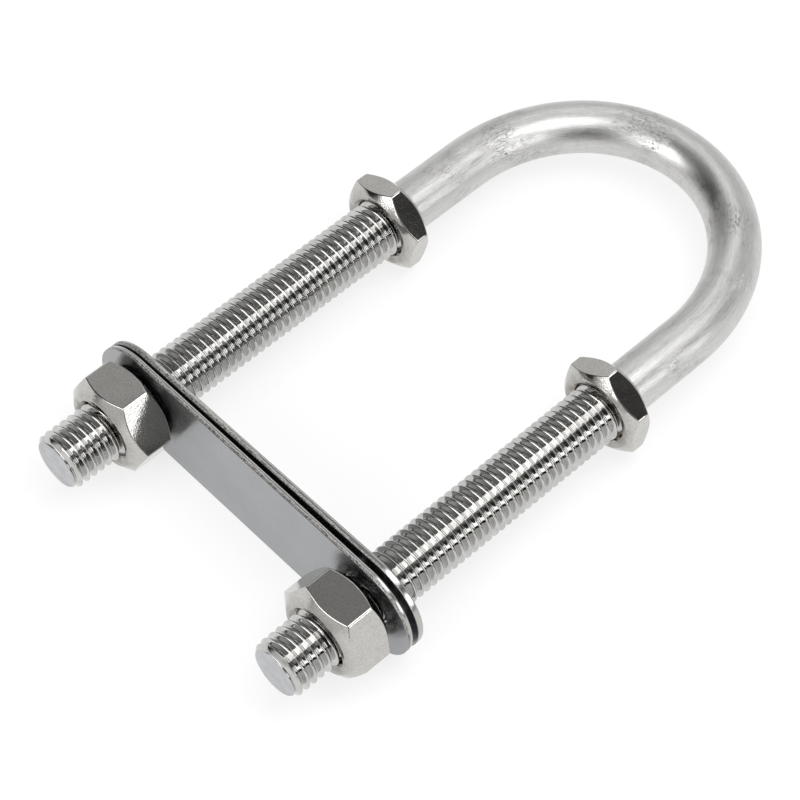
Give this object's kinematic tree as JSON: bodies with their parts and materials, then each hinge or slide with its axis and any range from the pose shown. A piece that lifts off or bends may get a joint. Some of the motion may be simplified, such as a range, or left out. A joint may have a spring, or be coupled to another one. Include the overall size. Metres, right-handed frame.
{
  "type": "u-bolt bow eye",
  "caption": "Stainless steel U-bolt eye with threaded legs, clamp plates, full nuts behind the plates and thin lock nuts at the thread's end.",
  "frame": {"origin": "under the middle of the overall box, level with the plates' lower edges", "axes": "+X along the legs from the threaded tips towards the bend, +Y towards the left leg, +Z square to the flat of the U"},
  "size_m": [0.1464, 0.084, 0.022],
  "materials": {
    "u_bolt_steel": "satin drawn rod with bright rolled threads",
    "inner_plate_steel": "rolled and punched sheet, satin",
    "outer_plate_steel": "rolled and punched sheet, satin",
    "left_full_nut_steel": "bright machined, lightly marked",
    "right_full_nut_steel": "bright machined, lightly marked",
    "left_thin_nut_steel": "bright machined, lightly marked",
    "right_thin_nut_steel": "bright machined, lightly marked"
  },
  "bodies": {
    "u_bolt": {"u_bolt": "u_bolt_steel"},
    "inner_plate": {"inner_plate": "inner_plate_steel"},
    "outer_plate": {"outer_plate": "outer_plate_steel"},
    "left_full_nut": {"left_full_nut": "left_full_nut_steel"},
    "right_full_nut": {"right_full_nut": "right_full_nut_steel"},
    "left_thin_nut": {"left_thin_nut": "left_thin_nut_steel"},
    "right_thin_nut": {"right_thin_nut": "right_thin_nut_steel"}
  },
  "joints": [
    {"name": "inner_plate_travel", "type": "slide", "parent": "u_bolt", "child": "inner_plate", "axis": [1, 0, 0], "range_m": [-0.01, 0]},
    {"name": "left_full_nut_turn", "type": "hinge", "parent": "inner_plate", "child": "left_full_nut", "pos_m": [-0.05717, 0.03, 0.011], "axis": [1, 0, 0], "range_deg": [-2058, 0]},
    {"name": "right_full_nut_turn", "type": "hinge", "parent": "inner_plate", "child": "right_full_nut", "pos_m": [-0.05808, -0.03, 0.011], "axis": [1, 0, 0], "range_deg": [-2058, 0]},
    {"name": "outer_plate_travel", "type": "slide", "parent": "u_bolt", "child": "outer_plate", "axis": [1, 0, 0], "range_m": [0, 0.03]},
    {"name": "left_thin_nut_travel", "type": "slide", "parent": "u_bolt", "child": "left_thin_nut", "axis": [1, 0, 0], "range_m": [-0.025, 0]},
    {"name": "right_thin_nut_travel", "type": "slide", "parent": "u_bolt", "child": "right_thin_nut", "axis": [1, 0, 0], "range_m": [-0.025, 0]}
  ],
  "couplings": [
    {"joint": "left_full_nut_turn", "follows": "inner_plate_travel", "rad_per_m": 3590.4},
    {"joint": "right_full_nut_turn", "follows": "inner_plate_travel", "rad_per_m": 3590.4}
  ]
}
